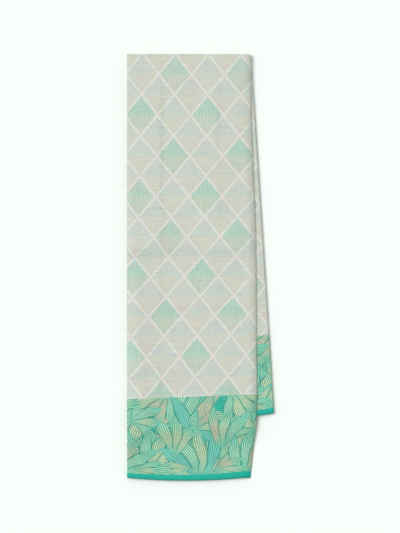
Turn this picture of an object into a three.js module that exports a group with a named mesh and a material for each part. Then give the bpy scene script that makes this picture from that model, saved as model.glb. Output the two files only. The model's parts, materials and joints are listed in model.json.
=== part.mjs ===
// A silk saree, folded for sale and laid flat on a table.
//
// The 5.5 m cloth is pleated along its length into a strip of 30 layers, 180 mm wide. The strip
// is then folded over once across its middle, so that both long edges of the cloth, each with a
// leaf border and a plain coloured edge, point the same way. The front drop lies on top. The back
// drop lies under it, is shorter, and fans out to the right, where a wedge of it shows.
//
// Millimetres, +Z up. The strip runs along Y with its fold at the +Y end. Places on the cloth are
// worked out as x, from the left fold to the right, and down, from the top fold to the hem.
// The origin is the middle of the footprint, on the table.

import * as THREE from 'three';
import { mergeVertices } from 'three/addons/utils/BufferGeometryUtils.js';

// The folded strip, seen from above.
const PANEL_WIDTH = 180.2;
const FRONT_HEM = 616;        // from the top fold to the corners of the front hem
const HEM_SAG = 4;            // the hem hangs this much lower in its middle
const BACK_HEM_LEFT = 534;    // from the top fold to the corners of the back hem
const BACK_HEM_RISE = 7;      // the back hem rises by this to the right
const BACK_CORNER_RISE = 5;   // and its right corner by this much more,
const CORNER_LATENESS = 6;    // the later, the higher this power
const FAN = THREE.MathUtils.degToRad(3.7);

// The right fold of the front drop, from the photograph's outline.
const FRONT_RIGHT = [
  { down: 0, x: 180.2 },
  { down: 100, x: 181.0 },
  { down: 170, x: 183.4 },
  { down: 215, x: 185.7 },
  { down: 270, x: 187.3 },
  { down: 360, x: 188.1 },
  { down: 500, x: 189.2 },
  { down: 530, x: 188.2 },
  { down: 560, x: 185.8 },
  { down: 590, x: 182.6 },
  { down: 622, x: 178.6 },
];

// The woven bands along each long edge of the cloth.
const EDGE_LEFT = 7.6;        // height of the plain edge at the left of the front
const EDGE_GROWS = 2.4;       // it is this much taller at the right
const BORDER_LINE_LEFT = 500.7;   // from the top fold to the top of the leaf border
const BORDER_LINE_RISE = 6.7;     // the border's top line rises to the right by this
const BACK_EDGE = 8;
const BACK_BORDER_LINE = 415.5;

// Thicknesses.
const LAYERS = 7;             // one drop's pressed layers
const GAP = 0.3;              // between pieces that lie on each other or meet
const MIDDLE = LAYERS + GAP / 2;  // height of the plane where the two drops meet
const CLOTH = 1.2;            // one stretch of cloth that shows
const TURN = 6;               // how far the top fold reaches past where the layers turn
const OVERHANG = 4;           // the front drop stays level this far past the back drop,
const RAMP = 46;              // and comes down to the table over this distance

// How the cloth rolls over at its long folds: how wide and how deep the roll is.
const LEFT_ROLL = { wide: 3, deep: 3 };
const RIGHT_ROLL = { wide: 9, deep: 5 };
const UNDER_ROLL = { wide: 3, deep: 3 };
const MARGIN_ROLL = { wide: 5, deep: 3 };
const LIP = THREE.MathUtils.degToRad(80);   // where a roll ends

// The folds of the hidden layers, seen from the side.
const FOLD_RIDGES = 5;
const GROOVE = 0.8;           // depth of the groove between two folds
const FOLD_SET_BACK = 0.4;    // the folds lie this far inside the outline
const HEM_SET_BACK = 1.6;     // the hidden hems end this far inside the hem that shows
const UNDER_LIP = 0.25;       // least distance from the end of a roll to the fold under it

// Broad soft creases pressed into the front drop. A trough is negative.
const CREASES = [
  { x: 46, down: 84, wide: 26, long: 130, height: -0.7 },
  { x: 24, down: 292, wide: 90, long: 46, height: -0.9 },
  { x: 122, down: 218, wide: 80, long: 96, height: 0.6 },
  { x: 104, down: 392, wide: 96, long: 70, height: -0.6 },
  { x: 176, down: 330, wide: 40, long: 56, height: -0.7 },
];

const { lerp, smoothstep } = THREE.MathUtils;

// A value from a table of rows, read between its rows.
function readTable(rows, key, at, value) {
  const next = rows.findIndex((row) => row[key] >= at);
  if (next === 0) return rows[0][value];
  if (next < 0) return rows[rows.length - 1][value];
  const low = rows[next - 1];
  const high = rows[next];
  return lerp(low[value], high[value], (at - low[key]) / (high[key] - low[key]));
}

// Outlines of the two drops. share is 0 at the left fold and 1 at the right.
function frontEdges(down) {
  return { left: 0, right: readTable(FRONT_RIGHT, 'down', down, 'x') };
}

function backEdges(down) {
  const left = Math.max(0, down - TURN) * Math.tan(FAN);
  return { left, right: left + PANEL_WIDTH };
}

function frontHem(share) {
  return FRONT_HEM + HEM_SAG * (1 - (2 * share - 1) ** 2);
}

function frontEdgeLine(share) {
  return frontHem(share) - EDGE_LEFT - EDGE_GROWS * share;
}

function frontBorderLine(share) {
  return BORDER_LINE_LEFT - BORDER_LINE_RISE * share;
}

function turnLine() {
  return TURN;
}

function backHem(share) {
  return BACK_HEM_LEFT - BACK_HEM_RISE * share - BACK_CORNER_RISE * share ** CORNER_LATENESS;
}

function backEdgeLine(share) {
  return backHem(share) - BACK_EDGE;
}

function backBorderLine(share) {
  return BACK_BORDER_LINE - BACK_HEM_RISE * share;
}

// Height of the plane between the two drops. It is level over the back drop, and comes down
// to the table past the back drop's left fold and hem.
function middleHeight(x, down) {
  const edges = backEdges(down);
  const pastFold = Math.max(0, edges.left - OVERHANG - x);
  const share = (x - edges.left) / PANEL_WIDTH;
  const pastHem = Math.max(0, down - backHem(Math.min(1, Math.max(0, share))) - OVERHANG);
  const fallen = smoothstep(Math.hypot(pastFold, pastHem), 0, RAMP);
  return lerp(MIDDLE, -GAP / 2, fallen);
}

// Height that the creases add at a place on the front drop.
function creaseHeight(x, down) {
  let height = 0;
  for (const crease of CREASES) {
    const across = (x - crease.x) / (crease.wide / 2);
    const along = (down - crease.down) / (crease.long / 2);
    height += crease.height * Math.exp(-across * across - along * along);
  }
  return height;
}

// A point of the folded stack. out is the distance from the plane between the two drops.
function frontPoint(x, down, out) {
  const pressed = creaseHeight(x, down) * smoothstep(out, 0, LAYERS / 2);
  return new THREE.Vector3(x, -down, middleHeight(x, down) + out + pressed);
}

function turnPoint(x, angle, out) {
  const reach = (TURN / (LAYERS + GAP / 2)) * out * Math.sin(angle);
  return new THREE.Vector3(x, -TURN + reach, MIDDLE + out * Math.cos(angle));
}

function backPoint(x, down, out) {
  return new THREE.Vector3(x, -down, MIDDLE - out);
}

// Equal steps from one value to another, both included.
function steps(from, to, count) {
  return Array.from({ length: count + 1 }, (_, i) => lerp(from, to, i / count));
}

// The columns of a stretch of cloth: down round the left roll, across, and round the right roll.
// Those across are closer at the left, where the front drop comes down beside the back one.
const ROLL_STEPS = 4;
const ACROSS_STEPS = 11;
const CLOSER_AT_LEFT = 1.7;
const LEFT_ANGLES = steps(LIP, 0, ROLL_STEPS).slice(0, -1);
const RIGHT_ANGLES = steps(0, LIP, ROLL_STEPS).slice(1);
const FLAT_SHARES = steps(0, 1, ACROSS_STEPS).map((share) => share ** CLOSER_AT_LEFT);

function columnList(leftAngles, rightAngles) {
  return [
    ...leftAngles.map((angle) => ({ at: 'left', angle, share: 0 })),
    ...FLAT_SHARES.map((share) => ({ at: 'flat', angle: 0, share })),
    ...rightAngles.map((angle) => ({ at: 'right', angle, share: 1 })),
  ];
}

// Where a column lies: its x, and its depth below the outside of the stack.
// inward is the depth of the point inside the cloth, 0 on its outer face.
function columnPlace(column, edges, leftRoll, rightRoll, inward) {
  if (column.at === 'left') {
    return {
      x: edges.left + leftRoll.wide - (leftRoll.wide - inward) * Math.sin(column.angle),
      depth: leftRoll.deep - (leftRoll.deep - inward) * Math.cos(column.angle),
    };
  }
  if (column.at === 'right') {
    return {
      x: edges.right - rightRoll.wide + (rightRoll.wide - inward) * Math.sin(column.angle),
      depth: rightRoll.deep - (rightRoll.deep - inward) * Math.cos(column.angle),
    };
  }
  return {
    x: lerp(edges.left + leftRoll.wide, edges.right - rightRoll.wide, column.share),
    depth: inward,
  };
}

// A block of small cells, each corner moved to where place says. place gets the corner's
// column, row and level.
const SAME_POINT = 1e-4;

function moveBlock(columns, rows, levels, place) {
  const block = new THREE.BoxGeometry(1, 1, 1, columns, rows, levels);
  block.deleteAttribute('normal');
  block.deleteAttribute('uv');
  const corners = block.attributes.position;
  for (let i = 0; i < corners.count; i++) {
    const column = Math.round((corners.getX(i) + 0.5) * columns);
    const row = Math.round((corners.getY(i) + 0.5) * rows);
    const level = Math.round((corners.getZ(i) + 0.5) * levels);
    const point = place(column, row, level);
    corners.setXYZ(i, point.x, point.y, point.z);
  }
  const solid = mergeVertices(block, SAME_POINT);
  solid.computeVertexNormals();
  return solid;
}

// Rows of each stretch, as shares of the way from its lower line to its upper one. The border
// has close rows, because the front drop comes down to the table there.
const BODY_ROWS = steps(0, 1, 17);
const BORDER_ROWS = steps(0, 1, 10);
const EDGE_ROWS = [0, 1];
const TURN_ANGLES = steps(0, Math.PI, 8);
const BACK_BODY_ROWS = steps(0, 1, 4);
const BACK_BORDER_ROWS = steps(0, 1, 2);

// A stretch of the front drop, from its lower line up to its upper one.
function frontStretch(lowerLine, upperLine, rows) {
  const columns = columnList(LEFT_ANGLES, RIGHT_ANGLES);
  return moveBlock(columns.length - 1, rows.length - 1, 1, (c, r, level) => {
    const column = columns[c];
    const down = lerp(lowerLine(column.share), upperLine(column.share), rows[r]);
    const inward = level === 1 ? 0 : CLOTH;
    const place = columnPlace(column, frontEdges(down), LEFT_ROLL, RIGHT_ROLL, inward);
    return frontPoint(place.x, down, MIDDLE - place.depth);
  });
}

// The right roll narrows on the way round the top fold, from the front at 0 to the back at 1.
function rollRoundFold(round) {
  return {
    wide: lerp(RIGHT_ROLL.wide, UNDER_ROLL.wide, round),
    deep: lerp(RIGHT_ROLL.deep, UNDER_ROLL.deep, round),
  };
}

// The cloth round the top fold.
function foldStretch() {
  const columns = columnList(LEFT_ANGLES, RIGHT_ANGLES);
  const start = GAP / LAYERS;
  const angles = TURN_ANGLES.map((angle) => lerp(start, Math.PI - start, angle / Math.PI));
  return moveBlock(columns.length - 1, angles.length - 1, 1, (c, r, level) => {
    const rightRoll = rollRoundFold(angles[r] / Math.PI);
    const inward = level === 1 ? 0 : CLOTH;
    const place = columnPlace(columns[c], frontEdges(0), LEFT_ROLL, rightRoll, inward);
    return turnPoint(place.x, angles[r], MIDDLE - place.depth);
  });
}

// A stretch of the underside, which rests flat on the table.
function underStretch(upperLine, lowerLine, rows) {
  const columns = columnList(LEFT_ANGLES, RIGHT_ANGLES);
  return moveBlock(columns.length - 1, rows.length - 1, 1, (c, r, level) => {
    const column = columns[c];
    const down = lerp(upperLine(column.share), lowerLine(column.share), rows[r]);
    const inward = level === 1 ? 0 : CLOTH;
    const place = columnPlace(column, backEdges(down), UNDER_ROLL, UNDER_ROLL, inward);
    return backPoint(place.x, down, MIDDLE - place.depth);
  });
}

// A stretch of the back drop's upper face, which shows as a wedge at the right.
// Its right side rolls down over the layers below.
function marginStretch(lowerLine, upperLine, rows) {
  const columns = columnList([], RIGHT_ANGLES);
  return moveBlock(columns.length - 1, rows.length - 1, 1, (c, r, level) => {
    const column = columns[c];
    const down = lerp(lowerLine(column.share), upperLine(column.share), rows[r]);
    const inward = level === 1 ? 0 : CLOTH;
    const edges = backEdges(down);
    edges.left += HEM_SET_BACK;
    const place = columnPlace(column, edges, { wide: 0, deep: 0 }, MARGIN_ROLL, inward);
    return backPoint(place.x, down, GAP / 2 + place.depth);
  });
}

// How far the hidden layers lie inside the outline where a roll of cloth covers them.
// depth is measured from the outside of the roll.
function insideRoll(roll, depth) {
  const covered = CLOTH + GAP;
  const deepEnd = roll.deep - (roll.deep - CLOTH) * Math.cos(LIP) + UNDER_LIP;
  if (depth > deepEnd) return FOLD_SET_BACK;
  const rise = Math.min(1, Math.max(0, (roll.deep - depth) / (roll.deep - covered)));
  return roll.wide - (roll.wide - covered) * Math.sqrt(1 - rise * rise);
}

// The hidden layers of both drops, as one solid that runs from the front hems, round the top
// fold, to the back hems. Its sides and ends are ridged as the folds and hems are.
function hiddenLayers() {
  const levels = 2 * FOLD_RIDGES;
  const columns = columnList([0], [0]);

  // The rows on the way from the front hems to the back ones.
  const way = [];
  const addRows = (side, fromLine, toLine, rows) => rows.forEach((row) => {
    way.push({ side, down: (share) => lerp(fromLine(share), toLine(share), row) });
  });
  addRows('front', frontHem, frontEdgeLine, [0]);
  addRows('front', frontEdgeLine, frontBorderLine, BORDER_ROWS);
  addRows('front', frontBorderLine, turnLine, BODY_ROWS.slice(1));
  TURN_ANGLES.slice(1, -1).forEach((angle) => way.push({ side: 'turn', angle }));
  addRows('back', turnLine, backBorderLine, BACK_BODY_ROWS);
  addRows('back', backBorderLine, backEdgeLine, BACK_BORDER_ROWS.slice(1));
  addRows('back', backEdgeLine, backHem, [1]);
  const last = way.length - 1;

  return moveBlock(columns.length - 1, last, levels, (c, r, level) => {
    const column = columns[c];
    const stop = way[r];
    const groove = level % 2 === 0 ? GROOVE : 0;

    // The layers lie between the two drops' cloth. The back drop has cloth above them too.
    const round = { front: 0, turn: stop.angle / Math.PI, back: 1 }[stop.side];
    const outer = MIDDLE - CLOTH - GAP;
    const inner = GAP / 2 + (CLOTH + GAP) * round;
    const out = lerp(inner, outer, level / levels);

    // Their folds follow the rolls of the cloth that covers them.
    const rightRoll = rollRoundFold(round);
    const rightWide = stop.side === 'back' ? MARGIN_ROLL.wide : rightRoll.wide;
    const leftInset = insideRoll(LEFT_ROLL, MIDDLE - out) + groove;
    let rightInset = insideRoll(rightRoll, MIDDLE - out) + groove;
    if (stop.side === 'back') {
      rightInset = Math.max(rightInset, insideRoll(MARGIN_ROLL, out - GAP / 2) + groove);
    }
    const placeAcross = (edges) => {
      if (column.at === 'left') return edges.left + Math.min(leftInset, LEFT_ROLL.wide - GAP);
      if (column.at === 'right') return edges.right - Math.min(rightInset, rightWide - GAP);
      return lerp(edges.left + LEFT_ROLL.wide, edges.right - rightWide, column.share);
    };
    if (stop.side === 'turn') return turnPoint(placeAcross(frontEdges(0)), stop.angle, out);
    let down = stop.down(column.share);
    if (r === 0 || r === last) down -= HEM_SET_BACK + groove;
    if (stop.side === 'back') return backPoint(placeAcross(backEdges(down)), down, out);
    return frontPoint(placeAcross(frontEdges(down)), down, out);
  });
}

// A line moved down the cloth by half of the gap at a seam, or up by it.
const below = (line) => (share) => line(share) + GAP / 2;
const above = (line) => (share) => line(share) - GAP / 2;

// Finishes: the printed silk, the leaf border and the plain edge.
const FINISHES = {
  body: { color: 0xccd2c7, roughness: 0.55, metalness: 0 },
  border: { color: 0x88bea4, roughness: 0.5, metalness: 0 },
  edge: { color: 0x27b4a0, roughness: 0.5, metalness: 0 },
  layers: { color: 0xc8cec4, roughness: 0.6, metalness: 0 },
};

const saree = new THREE.Group();

function addPiece(name, geometry, finish) {
  const piece = new THREE.Mesh(geometry, new THREE.MeshStandardMaterial(FINISHES[finish]));
  piece.name = name;
  saree.add(piece);
}

addPiece('hidden_layers', hiddenLayers(), 'layers');

addPiece('front_edge', frontStretch(frontHem, below(frontEdgeLine), EDGE_ROWS), 'edge');
addPiece('front_border',
  frontStretch(above(frontEdgeLine), below(frontBorderLine), BORDER_ROWS), 'border');
addPiece('front_body', frontStretch(above(frontBorderLine), turnLine, BODY_ROWS), 'body');
addPiece('top_fold', foldStretch(), 'body');

addPiece('under_body', underStretch(turnLine, above(backBorderLine), BACK_BODY_ROWS), 'body');
addPiece('under_border',
  underStretch(below(backBorderLine), above(backEdgeLine), BACK_BORDER_ROWS), 'border');
addPiece('under_edge', underStretch(below(backEdgeLine), backHem, EDGE_ROWS), 'edge');

addPiece('back_edge', marginStretch(backHem, below(backEdgeLine), EDGE_ROWS), 'edge');
addPiece('back_border',
  marginStretch(above(backEdgeLine), below(backBorderLine), BACK_BORDER_ROWS), 'border');
addPiece('back_body',
  marginStretch(above(backBorderLine), below(below(turnLine)), BACK_BODY_ROWS), 'body');

// The middle of the footprint goes to the origin.
const box = new THREE.Box3().setFromObject(saree);
saree.position.set(-(box.min.x + box.max.x) / 2, -(box.min.y + box.max.y) / 2, -box.min.z);

export default saree;
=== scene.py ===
# %% [markdown]
# # A folded silk saree
#
# A saree is one long cloth, 5.5 m by 1.15 m, with a border and a plain edge woven along each
# long side. A shop pleats it into a narrow strip, folds the strip over once, and lays it flat
# for its picture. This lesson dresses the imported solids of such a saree: thin sheets for the
# cloth that shows, a true zigzag of pleats between them, and three finishes of silk.

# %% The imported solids
import json
import math
from functools import partial

import bpy
import numpy as np
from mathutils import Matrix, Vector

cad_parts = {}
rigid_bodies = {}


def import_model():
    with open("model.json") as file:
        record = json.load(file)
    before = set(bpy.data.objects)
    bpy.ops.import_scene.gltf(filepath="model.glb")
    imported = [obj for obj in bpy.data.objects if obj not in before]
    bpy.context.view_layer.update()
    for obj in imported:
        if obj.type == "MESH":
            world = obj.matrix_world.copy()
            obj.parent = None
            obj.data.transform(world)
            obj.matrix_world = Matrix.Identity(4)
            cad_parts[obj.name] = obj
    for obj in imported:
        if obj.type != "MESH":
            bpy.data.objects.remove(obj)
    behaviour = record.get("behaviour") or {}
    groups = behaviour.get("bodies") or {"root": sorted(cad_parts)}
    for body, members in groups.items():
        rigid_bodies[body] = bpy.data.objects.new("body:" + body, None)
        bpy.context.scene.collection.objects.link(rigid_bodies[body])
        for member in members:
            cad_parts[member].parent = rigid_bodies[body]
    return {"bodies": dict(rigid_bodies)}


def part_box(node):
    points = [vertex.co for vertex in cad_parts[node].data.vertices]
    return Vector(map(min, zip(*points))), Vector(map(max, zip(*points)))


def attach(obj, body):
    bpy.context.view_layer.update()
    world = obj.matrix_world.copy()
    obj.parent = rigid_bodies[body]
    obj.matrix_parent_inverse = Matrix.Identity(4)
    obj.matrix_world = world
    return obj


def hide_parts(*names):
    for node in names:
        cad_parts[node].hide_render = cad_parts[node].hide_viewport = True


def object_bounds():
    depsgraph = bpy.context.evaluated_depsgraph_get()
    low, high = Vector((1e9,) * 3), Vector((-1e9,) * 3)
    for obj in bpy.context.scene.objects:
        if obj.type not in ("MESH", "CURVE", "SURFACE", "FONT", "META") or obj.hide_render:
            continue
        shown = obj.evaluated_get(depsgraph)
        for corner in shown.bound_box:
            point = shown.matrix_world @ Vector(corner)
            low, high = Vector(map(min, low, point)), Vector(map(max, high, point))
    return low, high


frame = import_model()
cad_box = [list(corner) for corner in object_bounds()]
bpy.ops.object.select_all(action="DESELECT")

# %% [markdown]
# Cloth is easiest to measure in millimetres, as a tailor does, while Blender works in metres.
# Places are worked out as x, from the left fold to the right, and down, from the top fold to
# the hem. The frame says where the left fold and the top fold lie.

# %% Units and places
MM = 0.001
LEFT_FOLD_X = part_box("front_body")[0][0] / MM
TOP_FOLD_Y = cad_box[1][1] / MM
print("left fold at x =", LEFT_FOLD_X, "mm, top fold at y =", TOP_FOLD_Y, "mm")


def lerp(low, high, share):
    """The value that share of the way from low to high."""
    return low + (high - low) * share


def ease(value, low, high):
    """0 below low, 1 above high, and a smooth S between them."""
    share = np.clip((value - low) / (high - low), 0, 1)
    return share * share * (3 - 2 * share)


# %% [markdown]
# ## The shape of the folded strip
#
# The front drop lies on the back drop. Its left fold is straight, and its right fold swells a
# little on the way down. The back drop is shorter and fans out to the right. These outlines
# were measured from the photograph, and they are the same as the solids'.

# %% The outlines of the two drops
PANEL_WIDTH = 180.2
FRONT_HEM = 616.0
HEM_SAG = 4.0
BACK_HEM_LEFT = 534.0
BACK_HEM_RISE = 7.0
BACK_CORNER_RISE = 5.0
CORNER_LATENESS = 6
FAN = math.radians(3.7)
TURN = 6.0            # the top fold reaches this far past where the layers turn
RIGHT_FOLD = [        # down, x
    (0, 180.2), (100, 181.0), (170, 183.4), (215, 185.7), (270, 187.3), (360, 188.1),
    (500, 189.2), (530, 188.2), (560, 185.8), (590, 182.6), (622, 178.6),
]
BORDER_LINE_LEFT = 500.7
BORDER_LINE_RISE = 6.7
EDGE_LEFT = 7.6
EDGE_GROWS = 2.4
BACK_EDGE = 8.0
BACK_BORDER_LINE = 415.5
SOFTENED = np.array([-14, -7, 0, 7, 14])   # the fold's bends are rounded over these distances


def front_right(down):
    """The right fold of the front drop, with its bends rounded."""
    at, x = np.array(RIGHT_FOLD).T
    return sum(np.interp(down + step, at, x) for step in SOFTENED) / len(SOFTENED)


def front_edges(down):
    return np.zeros_like(down), front_right(down)


def back_edges(down):
    left = np.maximum(0, down - TURN) * math.tan(FAN)
    return left, left + PANEL_WIDTH


def front_hem(share):
    return FRONT_HEM + HEM_SAG * (1 - (2 * share - 1) ** 2)


def front_edge_line(share):
    return front_hem(share) - EDGE_LEFT - EDGE_GROWS * share


def front_border_line(share):
    return BORDER_LINE_LEFT - BORDER_LINE_RISE * share


def turn_line(share):
    return TURN + 0 * share


def back_hem(share):
    return BACK_HEM_LEFT - BACK_HEM_RISE * share - BACK_CORNER_RISE * share ** CORNER_LATENESS


def back_edge_line(share):
    return back_hem(share) - BACK_EDGE


def back_border_line(share):
    return BACK_BORDER_LINE - BACK_HEM_RISE * share


print("the front hem's middle lies", front_hem(0.5), "mm down, the back hem's", back_hem(0.5))

# %% [markdown]
# Thirty layers of silk press down to about 7 mm, so the stack of two drops is 14 mm high. Past
# the back drop the front one comes down to the table in a gentle ramp. Every point of the stack
# is a place plus its distance out from the plane between the drops, so all layers follow the
# same ramp and the same soft creases, and no two of them cross.

# %% Heights and creases
DROP = 7.15           # from the plane between the drops to the outside of one
MIDDLE_GAP = 0.15     # the cloth keeps this far from that plane
OVERHANG = 4.0
RAMP = 46.0
BROAD_CREASES = [     # x, down, length, widths before and after, degrees from the fall, height
    (47, 95, 150, 44, 44, 1, -0.4),
    (30, 293, 100, 44, 44, 78, -0.7),
    (122, 218, 96, 80, 80, 0, 0.6),
    (104, 392, 70, 96, 96, 0, -0.6),
    (170, 330, 70, 44, 44, 4, -0.6),
    (100, 120, 170, 50, 50, 3, 0.35),
    (70, 455, 150, 46, 46, 80, 0.35),
    (0, 460, 330, 10, 56, 0, 3.6),
]
PRESS_LINES = [       # where the packet was folded small: the cloth stands up on one side
    (47, 102, 130, 52, 9, 0, 1.35),
    (47, 212, 90, 44, 9, 1, 0.95),
    (46, 340, 130, 40, 9, -1, 0.65),
    (45, 478, 50, 34, 9, 0, 1.0),
    (129, 104, 90, 50, 9, 0, 1.25),
    (129, 218, 50, 40, 9, 1, 0.9),
    (127, 350, 150, 50, 10, -1, 0.25),
    (24, 281, 84, 62, 24, -86, 4.6),
    (150, 281, 100, 54, 20, -91, 2.6),
    (88, 284, 70, 44, 15, -90, 0.7),
    (40, 221, 110, 34, 10, -89, 0.95),
    (92, 367, 270, 34, 7, -90, 0.75),
    (12, 462, 60, 46, 18, -70, 1.4),
    (60, 560, 90, 40, 8, 8, 0.4),
    (140, 575, 80, 40, 9, -12, 0.35),
    (182, 326, 36, 14, 12, -80, -0.45),
    (184, 374, 40, 12, 10, -96, -0.45),
    (177, 74, 80, 22, 22, 2, -0.6),
]
FOLD_WAVES = [        # how long and how high the side folds' slow waves are
    (173.0, 0.25, 0.4), (97.0, 0.18, 2.1), (61.0, 0.1, 4.4),
]
WAVE_REACH = 26.0     # the waves die out this far inside a fold
WAVE_OFFSET = 1.7     # radians by which the right fold's waves run ahead
CREASES_FROM = 30.0   # creases reach their full height this far below the top


def middle_height(x, down):
    """Height of the plane between the drops, and of the table past the back drop."""
    left, _ = back_edges(down)
    past_fold = np.maximum(0, left - OVERHANG - x)
    share = np.clip((x - left) / PANEL_WIDTH, 0, 1)
    past_hem = np.maximum(0, down - back_hem(share) - OVERHANG)
    fallen = ease(np.hypot(past_fold, past_hem), 0, RAMP)
    return lerp(DROP, 0.0, fallen)


def creased(x, down, creases):
    """The sum of soft troughs and ridges at a place."""
    height = 0.0
    for crease_x, crease_down, length, before, after, turn, rise in creases:
        turned = math.radians(turn)
        dx, dy = x - crease_x, down - crease_down
        across = dx * math.cos(turned) - dy * math.sin(turned)
        across = 2 * across / np.where(across < 0, before, after)
        along = 2 * (dx * math.sin(turned) + dy * math.cos(turned)) / length
        height = height + rise * np.exp(-across ** 2 - along ** 2)
    return height


def crease_height(x, down):
    """What the broad creases and the waves of the side folds add to the front drop."""
    height = creased(x, down, BROAD_CREASES)
    to_fold = np.minimum(x, front_right(down) - x)
    near_fold = 1 - ease(to_fold, 0, WAVE_REACH)
    for wave, rise, phase in FOLD_WAVES:
        sway = np.where(x < PANEL_WIDTH / 2, 0.0, WAVE_OFFSET)
        height = height + rise * near_fold * np.sin(2 * np.pi * down / wave + phase + sway)
    return height


def front_point(x, down, out):
    pressed = crease_height(x, down) * ease(out, 0, DROP / 2) * ease(down, 0, CREASES_FROM)
    return x, -down, middle_height(x, down) + out + pressed


def turn_point(x, angle, out, squared=0.0):
    """squared keeps a rolled side from falling back at the top, so the corner stays sharp."""
    reach = TURN / DROP * (out + squared) * np.sin(angle)
    return x, -TURN + reach, DROP + out * np.cos(angle)


def back_point(x, down, out):
    return x, -down, DROP - out


print("the packet is", 2 * DROP, "mm high, with", len(PRESS_LINES), "press lines")

# %% [markdown]
# ## Laying a sheet
#
# Each stretch of cloth starts as Blender's grid primitive. A function says where each corner
# of the grid goes, which is quicker and more exact here than dragging, because the shape is
# known. The corners also carry two maps: `cloth`, in metres on the flat cloth, which the print
# follows, and `OFBake`, which only fills a square. Solidify then gives the sheet its thickness.

# %% A grid, moved into its place
SILK = 0.22           # thickness of the cloth that shows, with a little air in the weave


def lay_sheet(name, columns, rows, place, thickness=SILK, towards=-1.0, square_map=True):
    """A sheet of columns by rows cells. place(column, row) gives points and cloth places in mm."""
    bpy.ops.mesh.primitive_grid_add(x_subdivisions=columns, y_subdivisions=rows, size=1)
    sheet = bpy.context.active_object
    sheet.name = name
    mesh = sheet.data
    mesh.name = name
    corners = np.empty(len(mesh.vertices) * 3)
    mesh.vertices.foreach_get("co", corners)
    corners = corners.reshape(-1, 3)
    column = np.rint((corners[:, 0] + 0.5) * columns).astype(int)
    row = np.rint((corners[:, 1] + 0.5) * rows).astype(int)
    (x, y, z), (cloth_x, cloth_y) = place(column, row)
    points = np.column_stack([x + LEFT_FOLD_X, y + TOP_FOLD_Y, z]) * MM
    mesh.vertices.foreach_set("co", points.ravel())

    loops = np.empty(len(mesh.loops), dtype=int)
    mesh.loops.foreach_get("vertex_index", loops)
    mesh.uv_layers[0].name = "cloth"
    cloth = np.column_stack([cloth_x, cloth_y]) * MM
    mesh.uv_layers["cloth"].data.foreach_set("uv", cloth[loops].ravel())
    if square_map:
        square = np.column_stack([column / columns, row / rows])
        mesh.uv_layers.new(name="OFBake").data.foreach_set("uv", square[loops].ravel())
        mesh.uv_layers["cloth"].active_render = True
    mesh.update()

    solid = sheet.modifiers.new("silk thickness", "SOLIDIFY")
    solid.thickness = thickness * MM
    solid.offset = towards
    bpy.ops.object.modifier_apply(modifier=solid.name)
    bpy.ops.object.shade_smooth_by_angle(angle=math.radians(50))
    bpy.ops.object.select_all(action="DESELECT")
    print(name, "has", len(mesh.polygons), "faces")
    return sheet


# %% [markdown]
# At a long fold the outer cloth rolls over, drops down the side and turns back under, so no
# raw edge shows. Seen end on, the roll is a quarter of an ellipse with a small tuck below it.
# The section lists, for each column, where it lies beside the flat part, how deep it is below
# the outside of the stack, and how far along the cloth it is.

# %% The section across a stretch
TUCK = 0.35
TUCK_RUN = 4.0
ROLL_STEPS = 8
TUCK_STEPS = 3
LEFT_ROLL = (1.8, 2.2)      # wide, deep
RIGHT_ROLL = (11.5, 6.4)
UNDER_ROLL = (3.0, 2.3)
MARGIN_ROLL = (2.2, 2.3)


def roll_points(wide, deep):
    """A rolled side: distance past the flat part, depth, and distance along the cloth."""
    angles = np.linspace(0, np.pi / 2, ROLL_STEPS + 1)[1:]
    tucks = np.linspace(0, np.pi / 2, TUCK_STEPS + 1)[1:]
    past = np.concatenate([
        wide * np.sin(angles), wide - TUCK + TUCK * np.cos(tucks), [wide - TUCK - TUCK_RUN],
    ])
    depth = np.concatenate([
        deep * (1 - np.cos(angles)), deep + TUCK * np.sin(tucks), [deep + TUCK],
    ])
    steps = np.hypot(np.diff(past, prepend=0), np.diff(depth, prepend=0))
    return past, depth, np.cumsum(steps)


def section(left_roll, right_roll, across):
    """Columns of a stretch: share across the flat part, and how far the roll is past it,
    how deep it is, and how far along the cloth."""
    flat = np.linspace(0, 1, across + 1)
    columns = np.stack([flat, 0 * flat, 0 * flat, 0 * flat])
    if left_roll:
        past, depth, along = roll_points(*left_roll)
        left = np.stack([0 * past, -past, depth, -along])[:, ::-1]
        columns = np.hstack([left, columns])
    if right_roll:
        past, depth, along = roll_points(*right_roll)
        columns = np.hstack([columns, [0 * past + 1, past, depth, along]])
    return columns


print("cloth round the right roll", roll_points(*RIGHT_ROLL)[2][-1], "mm")

# %% [markdown]
# ## What the maps say
#
# The print was laid on the flat cloth, so the maps give places there. On the front drop the
# print leans: its columns drift to the left on the way down, and its rows climb a little to
# the right. The numbers are the photograph's.

# %% Places on the printed cloth
PRINT_X = 71.0        # a green diamond's middle lies here at the top of the front drop
PRINT_DOWN = 28.3
DRIFT = 18.85         # how far its column has moved left where the border begins
DRIFT_OVER = 462.6
SLIP = [              # down, then slip across at left and at right, and along at left and right
    (30, 1, 1, -0.5, -2.5), (57, 2, 1.5, -1, -2.5), (110, 2.5, 2.5, -2.5, -3.5),
    (188, 2.5, 2, -3.5, -3.5), (266, 3.5, 2.5, -4.5, -4), (292, 5, 2.5, -4, -3),
    (344, 6, 2, -3, -3.5), (370, 5.5, 3.5, -3, -2), (397, 5, 4, -2, -1.5),
    (449, 3.5, 3.5, -4, -4), (500, 3, 2.5, -5, -5),
]
BACK_PRINT_X = 156.5  # a green diamond's middle on the back drop
BACK_PRINT_DOWN = 335.7
BORDER_HEIGHT = 112.0
EDGE_HEIGHT = 9.0
BACK_BORDER_SHIFT = 62.0
UNDER_BORDER_SHIFT = 118.0


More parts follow.
